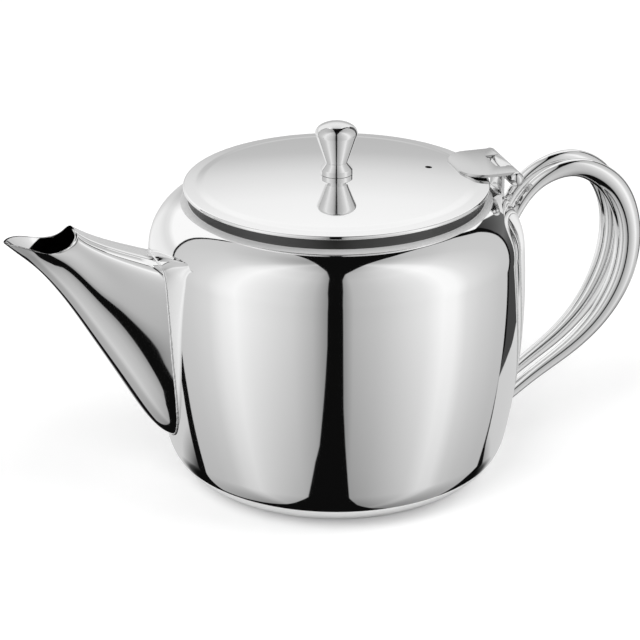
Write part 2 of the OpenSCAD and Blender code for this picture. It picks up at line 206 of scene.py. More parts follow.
# %% [markdown]
# ## The finish
# Hand-polished steel isn't a perfect mirror. The buffing wheel leaves very fine lines, grease and
# cloths leave soft patches of haze, and pressing leaves the sheet a few hundredths of a millimetre
# uneven, which makes straight reflections wander. One node group holds all three. Its outputs feed
# roughness, colour and the height of a bump, and each steel sets its own amounts.

# %% Helpers for node trees
def node(tree, kind, settings=None, **sockets):
    """A node with its settings, values and links. i0 is its first input, and _ stands for a space."""
    made = tree.nodes.new(kind)
    for key, value in (settings or {}).items():
        setattr(made, key, value)
    for key, value in sockets.items():
        by_number = key[0] == "i" and key[1:].isdigit()
        socket = made.inputs[int(key[1:]) if by_number else key.replace("_", " ")]
        if isinstance(value, bpy.types.NodeSocket):
            tree.links.new(value, socket)
        else:
            socket.default_value = value
    return made


def calc(tree, operation, a, b=0.0, c=0.5):
    """The result of a Math node."""
    return node(tree, "ShaderNodeMath", {"operation": operation}, i0=a, i1=b, i2=c).outputs[0]


def named_tree(name, kind, inputs, outputs):
    """An empty node tree with named inputs (name, type, value) and outputs (name, type)."""
    tree = bpy.data.node_groups.new(name, kind)
    for label, socket_type, *value in inputs:
        socket = tree.interface.new_socket(label, in_out="INPUT", socket_type="NodeSocket" + socket_type)
        if value:
            socket.default_value = value[0]
    for label, socket_type in outputs:
        tree.interface.new_socket(label, in_out="OUTPUT", socket_type="NodeSocket" + socket_type)
    return tree, tree.nodes.new("NodeGroupInput").outputs, tree.nodes.new("NodeGroupOutput").inputs


# %% Polishing marks: one shader group for every steel
PATCH_SIZE, LINES_IN_HAZE, PATCH_TONE = 28.0, 0.3, 0.01


def make_polish_group():
    """Haze, fine lines and unevenness, from three noises at different sizes."""
    group, given, result = named_tree(
        "polishing_marks", "ShaderNodeTree",
        [("Vector", "Vector"), ("Line Stretch", "Vector", (1, 1, 1)), ("Unevenness Size", "Float", 45.0),
         ("Line Size", "Float", 900.0), ("Line Share", "Float", 0.02), ("Roughness", "Float", 0.05),
         ("Haze", "Float", 0.03), ("Tone", "Color", (0.9, 0.9, 0.9, 1))],
        [("Roughness", "Float"), ("Height", "Float"), ("Colour", "Color")])

    def noise(vector, size, detail):
        return node(group, "ShaderNodeTexNoise", Vector=vector, Scale=size, Detail=detail).outputs["Fac"]

    stretched = node(group, "ShaderNodeVectorMath", {"operation": "MULTIPLY"}, i0=given["Vector"],
                     i1=given["Line Stretch"]).outputs[0]
    uneven = noise(given["Vector"], given["Unevenness Size"], 1.0)
    lines = noise(stretched, given["Line Size"], 3.0)
    patches = noise(given["Vector"], PATCH_SIZE, 3.0)
    height = calc(group, "ADD", uneven, calc(group, "MULTIPLY", lines, given["Line Share"]))
    clouds = calc(group, "ADD", patches, calc(group, "MULTIPLY", lines, LINES_IN_HAZE))
    haze = calc(group, "MULTIPLY", calc(group, "SUBTRACT", clouds, 0.5), given["Haze"])
    rough = calc(group, "ADD", given["Roughness"], haze)
    # The patches change the tone by no more than half a percent either way.
    share = calc(group, "SUBTRACT", 1 + PATCH_TONE / 2, calc(group, "MULTIPLY", patches, PATCH_TONE))
    colour = node(group, "ShaderNodeVectorMath", {"operation": "SCALE"}, i0=given["Tone"],
                  Scale=share).outputs[0]
    for value, socket in zip((rough, height, colour), result):
        group.links.new(value, socket)
    return group


polish = make_polish_group()
print("polishing marks:", len(polish.nodes), "nodes")


# %% One steel
def steel(name, tone, roughness, haze, waves, line_stretch, wave_size=45.0, metallic=1.0):
    """A steel with its own tone, haze and unevenness. waves is the unevenness in metres."""
    material = bpy.data.materials.new(name)
    material.use_nodes = True
    tree = material.node_tree
    shader = tree.nodes["Principled BSDF"].inputs
    shader["Metallic"].default_value = metallic
    where = node(tree, "ShaderNodeTexCoord").outputs["Object"]
    marks = node(tree, "ShaderNodeGroup", {"node_tree": polish}, Vector=where, Line_Stretch=line_stretch,
                 Roughness=roughness, Haze=haze, Unevenness_Size=wave_size,
                 Tone=(tone, tone, tone, 1)).outputs
    bump = node(tree, "ShaderNodeBump", Strength=1.0, Distance=waves, Height=marks["Height"]).outputs[0]
    tree.links.new(marks["Roughness"], shader["Roughness"])
    tree.links.new(marks["Colour"], shader["Base Color"])
    tree.links.new(bump, shader["Normal"])
    return material


# %% The steels of this pot
# Name, tone, roughness, haze, unevenness in metres, stretch of the lines, size of the unevenness.
mirror_steel = steel("mirror_steel", 0.96, 0.03, 0.03, 0.00001, (0.05, 0.05, 1))
spout_steel = steel("spout_steel", 0.95, 0.045, 0.03, 0.00003, (0.3, 0.3, 1))
tube_steel = steel("tube_steel", 0.92, 0.06, 0.03, 0.000004, (0.2, 0.2, 0.2))
lid_steel = steel("lid_steel", 0.95, 0.05, 0.03, 0.00001, (1, 1, 0.1))
hinge_steel = steel("hinge_steel", 0.66, 0.18, 0.08, 0.00001, (1, 0.1, 1))
ledge_steel = steel("ledge_steel", 0.74, 0.45, 0.15, 0.00002, (0.2, 0.2, 1), 45.0, 0.3)
# Nearly black steel: painted shade for the neck wall in the gap under the lid's edge.
painted_shade_steel = steel("painted_shade_steel", 0.09, 0.30, 0.20, 0.00002, (0.2, 0.2, 1))
turned_steel = steel("turned_steel", 0.82, 0.07, 0.04, 0.00001, (0.1, 0.1, 1))
satin_steel = steel("satin_steel", 0.80, 0.28, 0.10, 0.00002, (0.2, 0.2, 1))
weld_steel = steel("weld_steel", 0.90, 0.16, 0.20, 0.00010, (1, 1, 1), 1500.0)
print("steels:", len(bpy.data.materials))

# %% [markdown]
# ## The pot
# The pot is deep-drawn from one sheet: a flat base, a rounded corner, a slightly bulged side, a
# shoulder and a short upright neck. A lathe outline with both faces of the sheet gives it a real
# thickness, which shows at the rim when the lid is open.

# %% Outline of the pot
def pot_runs():
    """The pot's outline in five smooth runs, from the base up the outside and down the inside."""
    outer, top_a = pot_wall(0, False)
    inner, _ = pot_wall(SHEET, True)
    foot_r, foot_z = outer[-1][0], outer[-1][1]
    fillet_z = foot_z + NECK_FILLET * math.sin(math.radians(top_a))
    fillet_r = foot_r + NECK_FILLET * math.cos(math.radians(top_a))
    steps = 8
    fillet = arc(fillet_r, fillet_z, NECK_FILLET, 180 + top_a, 180, steps, True)
    shift = NECK_R - fillet[-1][0]
    fillet = [(r + shift * i / steps, z, nr, nz) for i, (r, z, nr, nz) in enumerate(fillet)]
    lip = SHEET / 2
    rim = arc(NECK_R - lip, RIM_Z - lip, lip, 0, 180, steps)
    inner_top = inner[-1]
    neck = fillet + [(NECK_R, RIM_Z - lip, 1, 0)] + rim[1:] + [(NECK_R - SHEET, inner_top[1], -1, 0)]
    return [line((0, 0), (outer[0][0], 0)), outer, neck,
            [(NECK_R - SHEET, *inner_top[1:])] + inner[::-1], line((inner[0][0], SHEET), (0, SHEET))]


# %% [markdown]
# ## Punched holes
# The strainer is a pattern of round holes that a punch leaves in the pot behind the spout, and the
# lid has one steam vent. Geometry Nodes place a drill at every hole of a staggered pattern and cut
# them all out together, so rows, columns and pitch stay named inputs.

# %% Node tree: staggered punched holes
def cut_away(tree, block, cutter):
    """A block less its cutter."""
    return node(tree, "GeometryNodeMeshBoolean", {"operation": "DIFFERENCE", "solver": "EXACT"},
                Mesh_1=block, Mesh_2=cutter).outputs[0]


def finish_tree(tree, result, geometry, material):
    """Ends a tree in plain geometry with its material."""
    real = node(tree, "GeometryNodeRealizeInstances", Geometry=geometry).outputs[0]
    coated = node(tree, "GeometryNodeSetMaterial", Geometry=real, Material=material).outputs[0]
    tree.links.new(coated, result[0])


def make_punch_tree():
    tree, given, result = named_tree(
        "punched_holes", "GeometryNodeTree",
        [("Geometry", "Geometry"), ("Hole Diameter", "Float", 0.0026), ("Pitch", "Float", 0.0056),
         ("Rows", "Int", 8), ("Columns", "Int", 4), ("Place", "Vector", (0, 0, 0)),
         ("Direction", "Vector", (0, 0, 0)), ("Drill Length", "Float", 0.02), ("Steel", "Material")],
        [("Geometry", "Geometry")])
    count = calc(tree, "MULTIPLY", given["Rows"], given["Columns"])
    last_row = calc(tree, "SUBTRACT", given["Rows"], 1.0)
    last_column = calc(tree, "SUBTRACT", given["Columns"], 1.0)
    index = node(tree, "GeometryNodeInputIndex").outputs[0]
    row = calc(tree, "FLOOR", calc(tree, "DIVIDE", index, given["Columns"]))
    column = calc(tree, "FLOORED_MODULO", index, given["Columns"])
    # Every second row has one hole less and so stands half a pitch aside. A single column stays whole.
    odd = calc(tree, "MINIMUM", calc(tree, "FLOORED_MODULO", row, 2.0), last_column)
    middle_column = calc(tree, "DIVIDE", calc(tree, "SUBTRACT", last_column, odd), 2.0)
    middle_row = calc(tree, "DIVIDE", last_row, 2.0)
    across = calc(tree, "MULTIPLY", calc(tree, "SUBTRACT", column, middle_column), given["Pitch"])
    up = calc(tree, "MULTIPLY", calc(tree, "SUBTRACT", row, middle_row), given["Pitch"])
    spot = node(tree, "ShaderNodeCombineXYZ", X=up, Y=across).outputs[0]
    points = node(tree, "GeometryNodePoints", Count=count, Position=spot).outputs[0]
    extra = calc(tree, "MULTIPLY", odd, calc(tree, "COMPARE", column, last_column))
    points = node(tree, "GeometryNodeDeleteGeometry", Geometry=points, Selection=extra).outputs[0]
    radius = calc(tree, "DIVIDE", given["Hole Diameter"], 2.0)
    drill = node(tree, "GeometryNodeMeshCylinder", Vertices=32, Radius=radius,
                 Depth=given["Drill Length"]).outputs[0]
    drills = node(tree, "GeometryNodeInstanceOnPoints", Points=points, Instance=drill).outputs[0]
    drills = node(tree, "GeometryNodeTransform", Geometry=drills, Translation=given["Place"],
                  Rotation=given["Direction"]).outputs[0]
    drills = node(tree, "GeometryNodeRealizeInstances", Geometry=drills).outputs[0]
    finish_tree(tree, result, cut_away(tree, given["Geometry"], drills), given["Steel"])
    return tree


punch_tree = make_punch_tree()
print("punch tree:", len(punch_tree.nodes), "nodes")


# %% Run a tree and keep its plain mesh
def baked(carrier):
    """The mesh that an object's modifiers make, as a plain mesh. The object goes."""
    made = bpy.data.meshes.new_from_object(carrier.evaluated_get(bpy.context.evaluated_depsgraph_get()))
    bpy.data.objects.remove(carrier)
    return made


def run_tree(mesh, tree, **values):
    """The mesh that a tree makes of another."""
    carrier = put_in_scene("carrier", mesh)
    modifier = carrier.modifiers.new("tree", "NODES")
    modifier.node_group = tree
    sockets = {item.name: item.identifier for item in tree.interface.items_tree
               if item.item_type == "SOCKET" and item.in_out == "INPUT"}
    for label, value in values.items():
        modifier[sockets[label.replace("_", " ")]] = value
    return baked(carrier)


# %% The pot with its strainer
SPOUT_ROOT_SHARE = 0.865  # share of the spout's height at which its top line meets the pot
HOLE_D, HOLE_PITCH, HOLE_ROWS, HOLE_COLUMNS = 2.6, 5.6, 8, 4
pot_outline_runs = pot_runs()
pot_plain = lathe_mesh(pot_outline_runs, 288)
strainer_z = SPOUT_FOOT_Z + SPOUT_ROOT_SHARE * (SPOUT_TIP_Z - SPOUT_FOOT_Z) / 2
pot_mesh = run_tree(pot_plain, punch_tree, Hole_Diameter=HOLE_D * MM, Pitch=HOLE_PITCH * MM,
                    Rows=HOLE_ROWS, Columns=HOLE_COLUMNS, Drill_Length=30 * MM, Steel=mirror_steel,
                    Place=(-BODY_R * MM, 0, strainer_z * MM), Direction=(0, math.pi / 2, 0))
smooth_from_outline(pot_mesh, pot_outline_runs)
add_piece("pot", pot_mesh, "pot", ["body_shell"], mirror_steel)

# %% [markdown]
# ### Steel under the lid
# The narrow ledge round the neck, where a polishing wheel can't reach, gets a duller satin steel. The neck
# wall lies in the shade of the lid's edge, and that shade is painted into its steel as a nearly black tone.
# Both belong to the pot's one sheet, so they stay in its mesh, and only their faces get steels of their own.

# %% Steels of the neck and the ledge
LEDGE_Z, LEDGE_R, NECK_SKIN, NECK_FOOT = 98.0, 52.6, 0.1, 0.5
pot_mesh.materials.append(ledge_steel)
pot_mesh.materials.append(painted_shade_steel)
for face in pot_mesh.polygons:
    away = face.center.xy.length / MM
    if face.center.z > LEDGE_Z * MM and NECK_R - NECK_SKIN < away < LEDGE_R:
        # Faces of the neck wall take the painted shade, and the ledge round it takes the satin steel.
        face.material_index = 2 if away < NECK_R + NECK_FOOT else 1
print("faces under the lid:", sum(face.material_index > 0 for face in pot_mesh.polygons))

# %% [markdown]
# ## Smooth curves through a few stations
# The spout and the handle change their section along their length. A short table gives the section
# at a few stations, and a cubic spline joins them. Its slope and its bend are both continuous,
# which matters on a mirror: a jump in the bend alone shows as a kink in every reflection.

# %% Cubic spline
def spline(stations, t):
    """Rows of a natural cubic spline through evenly spaced stations, at t from 0 to 1."""
    p = np.array(stations, float)
    n = len(p)
    system = np.eye(n)
    for i in range(1, n - 1):
        system[i, i - 1:i + 2] = 1, 4, 1
    bend = np.zeros_like(p)
    bend[1:-1] = 6 * (p[2:] - 2 * p[1:-1] + p[:-2])
    bend = np.linalg.solve(system, bend)
    s = np.clip(np.asarray(t, float), 0, 1) * (n - 1)
    i = np.minimum(s.astype(int), n - 2)
    b = (s - i)[:, None]
    a = 1 - b
    return (a * p[i] + b * p[i + 1] + ((a ** 3 - a) * bend[i] + (b ** 3 - b) * bend[i + 1]) / 6)


# %% [markdown]
# ## The spout
# The spout is pressed as two half shells and welded along its middle. Each half is a loft: a grid
# of lines that run from the pot to the lip. Every line starts exactly where it meets the pot, so
# the joint needs no cutting. The lip's edge is rounded over, because a bare cut edge would drip.
# The sections are evened by a few tenths of a millimetre against the solid's, because a mirror shows
# every small jump in their bend.

# %% Sections of the spout
SPOUT_STATIONS = [
    # low reach, low rise, top reach, top rise, half width, squareness low, high, flare, dip
    [-0.20, 0.035, -0.17, 0.83, 1.075, 2.75, 4.4, 0.00, 0],
    [-0.045, 0.06, -0.02, 0.86, 0.985, 2.55, 4.6, 0.00, 0],
    [0.105, 0.17, 0.11, 0.89, 0.897, 2.38, 4.8, 0.01, 0],
    [0.265, 0.345, 0.232, 0.92, 0.808, 2.24, 5.0, 0.04, 0],
    [0.432, 0.53, 0.34, 0.95, 0.724, 2.13, 5.2, 0.08, 0],
    [0.60, 0.71, 0.43, 0.98, 0.657, 2.06, 5.2, 0.12, 0],
    [0.765, 0.855, 0.485, 1.003, 0.615, 2.02, 5.0, 0.16, 0.4],
    [0.90, 0.94, 0.507, 1.015, 0.60, 2.0, 4.6, 0.18, 1.6],
    [1.00, 1.00, 0.515, 1.02, 0.598, 2.0, 4.4, 0.20, 3.1]]
print("spout sections:", len(SPOUT_STATIONS))

# The mouth's rim dips between its ends, and a little more towards its top. Its rounded edge adds
# half a sheet, so the surface stops a little before the last station.
RIM_DIP_SKEW, LIP_T = 1.17, 0.99


# %% Surface of the spout
def spout_points(angles, t, depth):
    """Points of the near half of the spout. angles go from the bottom line to the top line."""
    s = spline(SPOUT_STATIONS, t)
    rise = SPOUT_TIP_Z - SPOUT_FOOT_Z
    low = np.stack([-BODY_R - s[:, 0] * SPOUT_REACH, SPOUT_FOOT_Z + s[:, 1] * rise], 1)
    top = np.stack([-BODY_R - s[:, 2] * SPOUT_REACH, SPOUT_FOOT_Z + s[:, 3] * rise], 1)
    mid, half = (low + top) / 2, (top - low) / 2
    size = np.linalg.norm(half, axis=1)
    grow = (size - depth) / size
    width = SPOUT_HALF_W * s[:, 4] - depth
    u = np.sin(angles)
    square = s[:, 5] + (s[:, 6] - s[:, 5]) * np.maximum(0, u) ** 4
    v = np.maximum(0, 1 - np.abs(u) ** square) ** (1 / square)
    v = v * (1 - s[:, 7] + s[:, 7] * u)
    p = mid + half * (u * grow)[:, None]
    return np.stack([p[:, 0], -width * v, p[:, 1] - s[:, 8] * (1 - u * u) * (1 + RIM_DIP_SKEW * u)], 1)


def spout_grid(depth, rows=90, sides=56):
    """Grid of points [side, row], each side line starting where it leaves the pot."""
    fine = np.linspace(0, 1, 1201)
    grid = []
    for angle in np.linspace(-math.pi / 2, math.pi / 2, sides + 1):
        p = spout_points(np.full(len(fine), angle), fine, depth)
        outside = np.hypot(p[:, 0], p[:, 1]) - pot_radius(p[:, 2])
        last = np.nonzero(outside < 0)[0].max()
        part = outside[last] / (outside[last] - outside[last + 1])
        start = fine[last] + part * (fine[1] - fine[0])
        t = np.linspace(start, LIP_T, rows + 1)
        grid.append(spout_points(np.full(rows + 1, angle), t, depth))
    return np.array(grid)


# %% One half of the spout
def grid_normals(grid, flip):
    """Normals of a grid of points, smooth over the middle plane that it ends on."""
    mirror = np.array([1, -1, 1])
    whole = np.concatenate([grid[2:0:-1] * mirror, grid, grid[-2:-4:-1] * mirror])
    along = np.gradient(whole, axis=1)
    across = np.gradient(whole, axis=0)
    n = np.cross(along, across)[2:-2]
    n /= np.linalg.norm(n, axis=2, keepdims=True)
    return -n if flip else n


def rounded_lip(outer, inner, turns=6):
    """Points and normals that round the lip over from the outer face to the inner one."""
    first, last = outer[:, -1], inner[:, -1]
    ahead = first - outer[:, -2]
    ahead /= np.linalg.norm(ahead, axis=1, keepdims=True)
    middle, half = (first + last) / 2, (first - last) / 2
    out = half / np.linalg.norm(half, axis=1, keepdims=True)
    angles = [math.pi * k / turns for k in range(1, turns)]
    points = [middle + half * math.cos(a) + ahead * (SHEET / 2) * math.sin(a) for a in angles]
    normals = [out * math.cos(a) + ahead * math.sin(a) for a in angles]
    return np.stack(points, 1), np.stack(normals, 1)


# %% Faces of a half shell
def wall_faces(normals):
    """Faces between neighbouring lines, each with the normals of its corners, or None at the root."""
    lines, length = normals.shape[:2]
    faces, wanted = [], []
    for i in range(lines - 1):
        for j in range(length):
            k = (j + 1) % length
            faces.append([i * length + j, i * length + k, (i + 1) * length + k, (i + 1) * length + j])
            around = [normals[i, j], normals[i, k], normals[i + 1, k], normals[i + 1, j]]
            wanted.append(around if k else None)
    return faces, wanted


def seam_faces(lines, length):
    """Faces that close the shell along the middle plane, where the two halves are welded."""
    faces = []
    for i in (0, lines - 1):
        for j in range(length // 2):
            a, b = i * length + j, i * length + length - 1 - j
            if b - 1 > a:
                quad = [a, b, b - 1, a + 1] if b - 1 != a + 1 else [a, b, a + 1]
                faces.append(quad if i else quad[::-1])
    return faces


# %% The two halves of the spout
def spout_half(side):
    """Closed half shell: outer face, rounded lip, inner face, root and seam."""
    outer, inner = spout_grid(0), spout_grid(SHEET)
    lip, lip_normals = rounded_lip(outer, inner)
    columns = np.concatenate([outer, lip, inner[:, ::-1]], 1)
    inner_normals = grid_normals(inner, True)[:, ::-1]
    normals = np.concatenate([grid_normals(outer, False), lip_normals, inner_normals], 1)
    points = columns.reshape(-1, 3) * MM
    faces, corner_normals = wall_faces(normals)
    seam = seam_faces(*columns.shape[:2])
    faces += seam
    corner_normals += [None] * len(seam)
    if side > 0:
        points = points * (1, -1, 1)
        faces = [f[::-1] for f in faces]
        corner_normals = [n and [v * (1, -1, 1) for v in n[::-1]] for n in corner_normals]
    mesh = bpy.data.meshes.new("spout")
    mesh.from_pydata(points.tolist(), [], faces)
    mesh.shade_smooth()
    per_corner = []
    for poly, wanted in zip(mesh.polygons, corner_normals):
        per_corner += [tuple(v) for v in wanted] if wanted else [tuple(poly.normal)] * poly.loop_total
    mesh.normals_split_custom_set(per_corner)
    return mesh


add_piece("spout_near_half", spout_half(-1), "pot", ["spout_half_left"], spout_steel)
add_piece("spout_far_half", spout_half(1), "pot", ["spout_half_right"], spout_steel)

# %% [markdown]
# ## The handle
# Two round tubes are bent to one loop and splayed apart in the grip. A tube is what Geometry Nodes
# do best: a path carries its own thickness, a circle is swept along it, and the ends are cut to the
# pot's side. The cutter is the pot as a solid block.

# %% Path of a tube
HANDLE_STATIONS = [
    # reach, rise, thickness, spread
    [-0.16, 0.68, 0.00, 0.00],
    [-0.03, 0.83, 0.02, 0.00],
    [0.17, 0.95, 0.14, 0.00],
    [0.45, 1.00, 0.36, 0.06],
    [0.68, 0.975, 0.68, 0.35],
    [0.87, 0.895, 0.96, 0.72],
    [0.98, 0.77, 1.00, 0.95],
    [1.00, 0.63, 1.00, 1.00],
    [0.93, 0.475, 0.86, 1.00],
    [0.74, 0.31, 0.55, 0.80],
    [0.47, 0.18, 0.28, 0.52],
    [0.18, 0.08, 0.10, 0.34],
    [-0.12, -0.03, 0.00, 0.24]]


def path_mesh(points, radii=None):
    """An edge chain, in millimetres, with a thickness at each point."""
    mesh = bpy.data.meshes.new("path")
    mesh.from_pydata((np.array(points) * MM).tolist(), [(i, i + 1) for i in range(len(points) - 1)], [])
    if radii is not None:
        mesh.attributes.new("thickness", "FLOAT", "POINT").data.foreach_set("value", np.array(radii) * MM)
    return mesh


def tube_path(side):
    s = spline(HANDLE_STATIONS, np.linspace(0, 1, 241))
    x = BODY_R + s[:, 0] * HANDLE_REACH
    z = HANDLE_FOOT_Z + s[:, 1] * (HANDLE_TOP_Z - HANDLE_FOOT_Z)
    y = side * (TUBE_END_GAP + s[:, 3] * (TUBE_MID_GAP - TUBE_END_GAP)) / 2
    radius = (GRIP_END_D + s[:, 2] * (GRIP_D - GRIP_END_D)) / 2
    return path_mesh(np.stack([x, y, z], 1), radius)


# %% Node tree: tube swept along a path
def swept(tree, curve, sides, radius):
    """A round rod along a curve, smooth and with closed ends."""
    circle = node(tree, "GeometryNodeCurvePrimitiveCircle", Resolution=sides, Radius=1.0).outputs[0]
    rod = node(tree, "GeometryNodeCurveToMesh", Curve=curve, Profile_Curve=circle, Scale=radius,
               Fill_Caps=True).outputs[0]
    return node(tree, "GeometryNodeSetShadeSmooth", Geometry=rod, Shade_Smooth=True).outputs[0]


def make_tube_tree():
    tree, given, result = named_tree(
        "swept_tube", "GeometryNodeTree",
        [("Geometry", "Geometry"), ("Sides", "Int", 64), ("Cutter", "Object"), ("Steel", "Material")],
        [("Geometry", "Geometry")])
    curve = node(tree, "GeometryNodeMeshToCurve", Mesh=given["Geometry"]).outputs[0]
    width = node(tree, "GeometryNodeInputNamedAttribute", {"data_type": "FLOAT"}, Name="thickness").outputs[0]
    tube = swept(tree, curve, given["Sides"], width)
    block = node(tree, "GeometryNodeObjectInfo", Object=given["Cutter"]).outputs["Geometry"]
    finish_tree(tree, result, cut_away(tree, tube, block), given["Steel"])
    return tree


tube_tree = make_tube_tree()
print("tube tree:", len(tube_tree.nodes), "nodes")

# %% The two tubes, cut to the pot's side
wall, _ = pot_wall(0, False, 20)
block_mesh = lathe_mesh([line((0, 0), wall[0][:2]), wall, line(wall[-1][:2], (0, wall[-1][1]))], 144)
pot_block = put_in_scene("pot_block", block_mesh)
for side, label, solid in ((-1, "near", "handle_tube_left"), (1, "far", "handle_tube_right")):
    tube = run_tree(tube_path(side), tube_tree, Sides=64, Cutter=pot_block, Steel=tube_steel)
    tube.set_sharp_from_angle(angle=math.radians(50))
    add_piece(f"handle_tube_{label}", tube, "pot", [solid], tube_steel)

# %% [markdown]
# ## Weld beads
# Where the spout meets the pot a thin line of weld is left, a little wavy and brighter than the
# steel round it. It follows a surface, so it is a path again: the joint's own line, swept with a
# small circle whose size wanders with a fixed seed.

# %% Node tree: weld bead
def make_bead_tree():
    tree, given, result = named_tree(
        "weld_bead", "GeometryNodeTree",
        [("Geometry", "Geometry"), ("Width", "Float", 0.0009), ("Wander", "Float", 0.35),
         ("Spacing", "Float", 0.00035), ("Seed", "Float", 3.0), ("Steel", "Material")],
        [("Geometry", "Geometry")])
    curve = node(tree, "GeometryNodeMeshToCurve", Mesh=given["Geometry"]).outputs[0]
    curve = node(tree, "GeometryNodeResampleCurve", {"mode": "LENGTH"}, Curve=curve,
                 Length=given["Spacing"]).outputs[0]
    ripple = node(tree, "ShaderNodeTexNoise", {"noise_dimensions": "4D"}, W=given["Seed"], Scale=700.0,
                  Detail=2.0).outputs["Fac"]
    swing = calc(tree, "MULTIPLY", calc(tree, "SUBTRACT", ripple, 0.5), given["Wander"])
    size = calc(tree, "MULTIPLY", calc(tree, "ADD", swing, 0.5), given["Width"])
    finish_tree(tree, result, swept(tree, curve, 10, size), given["Steel"])
    return tree


# %% The bead round the spout
bead_tree = make_bead_tree()
root = spout_grid(0)[:, 0]
loop = np.concatenate([root, root[-2::-1] * (1, -1, 1)])
bead = run_tree(path_mesh(loop), bead_tree, Width=0.9 * MM, Wander=0.5, Spacing=0.35 * MM, Seed=3.0,
                Steel=weld_steel)
add_piece("spout_weld", bead, "pot", [], weld_steel)

# %% [markdown]
# ## The lid
# The lid is a shallow dome with a rolled edge. Its outline is turned on the lathe, and the vent is
# one hole of the same punch that made the strainer. Under the lid a short ring holds it central in
# the neck.

# %% The dome and its border
print(f"lid: {2 * LID_R:.1f} mm across, {LID_TOP_Z:.1f} mm above the table")


def dome(r, depth):
    """Height and normal of the lid's dome at a distance from its middle."""
    big = (LID_R ** 2 + LID_RISE ** 2) / (2 * LID_RISE)
    centre = LID_TOP_Z - big
    z = centre + math.sqrt((big - depth) ** 2 - r * r)
    return z, r / (big - depth), (z - centre) / (big - depth)


# Near its edge the dome has a faint step and then a flatter border: slope added at each radius.
DOME_END = 42
BORDER_R = np.linspace(DOME_END, 52, 501)
BORDER_SLOPE = np.interp(BORDER_R, [DOME_END, 44, 45.2, 46.6, 47.6, 52], [0, 0, -0.08, -0.08, 0.05, 0.05])
BORDER_DROP = np.cumsum(BORDER_SLOPE) * (BORDER_R[1] - BORDER_R[0])


def bordered(run):
    """The dome's top face with its step and border."""
    points = []
    for r, z, nr, nz in run:
        slope = np.interp(r, BORDER_R, BORDER_SLOPE) - nr / nz
        size = math.hypot(slope, 1)
        points.append((r, z + np.interp(r, BORDER_R, BORDER_DROP), -slope / size, 1 / size))
    return points


def dome_run(start, end, depth, inside, steps):
    turn = -1 if inside else 1
    points = []
    for r in np.linspace(start, end, steps + 1):
        z, nr, nz = dome(r, depth)
        points.append((r, z, turn * nr, turn * nz))
    return points


# %% The lid with its vent
SCREW_HOLE_R, VENT_X, VENT_D = 2.0, 32.5, 2.4


def lid_runs():
    """The lid's outline. Its rolled edge stops where it meets the slope of the dome."""
    hem = LID_R - HEM_W
    roll = LID_EDGE / 2
    edge = arc(LID_R - roll, LID_LOW_Z + roll, roll, -90, 83, 14)
    top = bordered(dome_run(edge[-1][0], DOME_END, 0, False, 40)
                   + dome_run(DOME_END, SCREW_HOLE_R, 0, False, 40)[1:])
    under = dome_run(SCREW_HOLE_R, hem, LID_SHEET, True, 30)
    return [under, line(under[-1][:2], (hem, LID_LOW_Z)), line((hem, LID_LOW_Z), edge[0][:2]),
            edge + top[1:], line(top[-1][:2], under[0][:2])]


lid_outline = lid_runs()
lid_mesh = run_tree(lathe_mesh(lid_outline, 240), punch_tree, Hole_Diameter=VENT_D * MM, Rows=1,
                    Columns=1, Drill_Length=12 * MM, Steel=lid_steel, Direction=(0, 0, 0),
                    Pitch=HOLE_PITCH * MM, Place=(VENT_X * MM, 0, LID_TOP_Z * MM))
smooth_from_outline(lid_mesh, lid_outline)
add_piece("lid", lid_mesh, "lid", ["lid_cover"], lid_steel)

# %% The ring under the lid
RING_R, BRIM_R, RING_DEPTH, RING_SHEET = 47.7, 43.7, 5, 0.6


def ring_runs():
    """An upright wall that enters the neck, and a brim welded to the underside of the dome."""
    wall_r, low = RING_R - RING_SHEET, LID_LOW_Z - RING_DEPTH
    z_out, z_in = dome(RING_R, LID_SHEET)[0], dome(BRIM_R, LID_SHEET)[0]
    corners = [(wall_r, low), (RING_R, low), (RING_R, z_out), (BRIM_R, z_in), (BRIM_R, z_in - RING_SHEET),
               (wall_r, z_out - RING_SHEET)]
    return [line(here, there) for here, there in zip(corners, corners[1:] + corners[:1])]


add_piece("lid_ring", turned_mesh(ring_runs(), 180), "lid", ["lid_locating_ring"], satin_steel)

# %% [markdown]
# ## The knob
# A turned knob: a flat foot, a narrow waist that flares to a head, and a low crown. On the lathe
# its flank is one straight cut that runs into the crown without a corner, so the outline works out
# where that line touches the crown's ellipse.

# %% Knob
FOOT_R, FOOT_H, WAIST_R, HEAD_R, CROWN_H, KNOB_H = 5.45, 2.1, 3.65, 7.1, 3.8, 18.0
FOOT_LOW_ROUND, FOOT_TOP_ROUND, KNOB_SEAT = 0.2, 0.45, 0.15


def crown_point(a):
    """Point and normal of the crown's ellipse at an angle."""
    size = math.hypot(CROWN_H * math.cos(a), HEAD_R * math.sin(a))
    return (HEAD_R * math.cos(a), LID_TOP_Z + KNOB_H - CROWN_H + CROWN_H * math.sin(a),
            CROWN_H * math.cos(a) / size, HEAD_R * math.sin(a) / size)


def knob_runs():
    waist_z = FOOT_H + FOOT_R - WAIST_R
    below = (waist_z - KNOB_H + CROWN_H) * HEAD_R / CROWN_H
    touch = math.atan2(below, WAIST_R) + math.acos(HEAD_R / math.hypot(WAIST_R, below))
    foot = (arc(FOOT_R - FOOT_LOW_ROUND, LID_TOP_Z + FOOT_LOW_ROUND, FOOT_LOW_ROUND, -90, 0, 3)
            + arc(FOOT_R - FOOT_TOP_ROUND, LID_TOP_Z + FOOT_H - FOOT_TOP_ROUND, FOOT_TOP_ROUND, 0, 45, 4))
    head = [crown_point(a) for a in np.linspace(touch, math.pi / 2, 33)]
    flank = [(WAIST_R, LID_TOP_Z + waist_z, *head[0][2:])] + head
    seat = LID_TOP_Z - KNOB_SEAT
    return [line((0, seat), (FOOT_R - FOOT_LOW_ROUND, seat)), foot, line(foot[-1][:2], flank[0][:2]), flank]


add_piece("lid_knob", turned_mesh(knob_runs(), 128), "lid", ["knob"], turned_steel)

